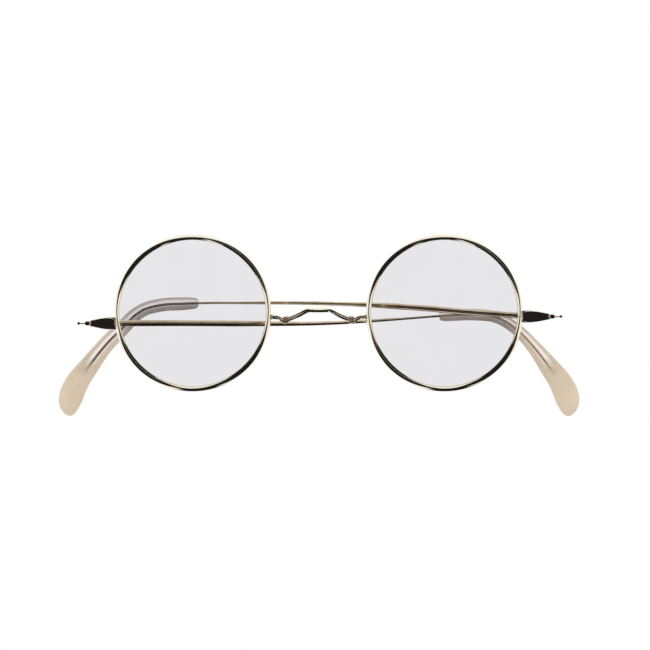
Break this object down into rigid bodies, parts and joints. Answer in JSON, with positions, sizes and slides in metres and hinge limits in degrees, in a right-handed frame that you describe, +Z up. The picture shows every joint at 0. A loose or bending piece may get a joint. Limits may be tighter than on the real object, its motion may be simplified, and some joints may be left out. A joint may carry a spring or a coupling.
{
  "type": "eyeglasses",
  "caption": "Round wire-rimmed spectacles with a saddle bridge, leaf-shaped end pieces, folding wire temples and translucent curved tips.",
  "frame": {"origin": "underside of the bridge crest on the centre line, where the bridge sits on the nose", "axes": "+X towards the wearer's left, -Y out of the front of the lenses, +Z up"},
  "size_m": [0.1413, 0.0284, 0.0491],
  "materials": {
    "bridge_wire": "polished pale gold plate",
    "rim": "polished pale gold plate",
    "lens": "clear, faint grey tint",
    "end_piece": "polished pale gold plate",
    "closing_block": "polished pale gold plate",
    "hinge": "polished pale gold plate",
    "screw": "turned steel",
    "temple_wire": "polished pale gold plate",
    "temple_tip": "translucent cream acetate"
  },
  "bodies": {
    "front": {"bridge": "bridge_wire", "rim_right": "rim", "lens_right": "lens", "end_piece_right": "end_piece", "closing_block_upper_right": "closing_block", "closing_block_lower_right": "closing_block", "closing_screw_right": "screw", "hinge_front_right": "hinge", "hinge_screw_right": "screw", "rim_left": "rim", "lens_left": "lens", "end_piece_left": "end_piece", "closing_block_upper_left": "closing_block", "closing_block_lower_left": "closing_block", "closing_screw_left": "screw", "hinge_front_left": "hinge", "hinge_screw_left": "screw"},
    "temple_right": {"hinge_temple_right": "hinge", "temple_right": "temple_wire", "temple_tip_right": "temple_tip"},
    "temple_left": {"hinge_temple_left": "hinge", "temple_left": "temple_wire", "temple_tip_left": "temple_tip"}
  },
  "joints": [
    {"name": "temple_left_hinge", "type": "hinge", "parent": "front", "child": "temple_left", "pos_m": [0.0592, 0.0016, -0.0011], "axis": [0, 0, -1], "range_deg": [0, 86]},
    {"name": "temple_right_hinge", "type": "hinge", "parent": "front", "child": "temple_right", "pos_m": [-0.0592, 0.0016, -0.00295], "axis": [0, 0, 1], "range_deg": [0, 86]}
  ],
  "couplings": [
    {"joint": "temple_right_hinge", "follows": "temple_left_hinge", "ratio": 1}
  ]
}
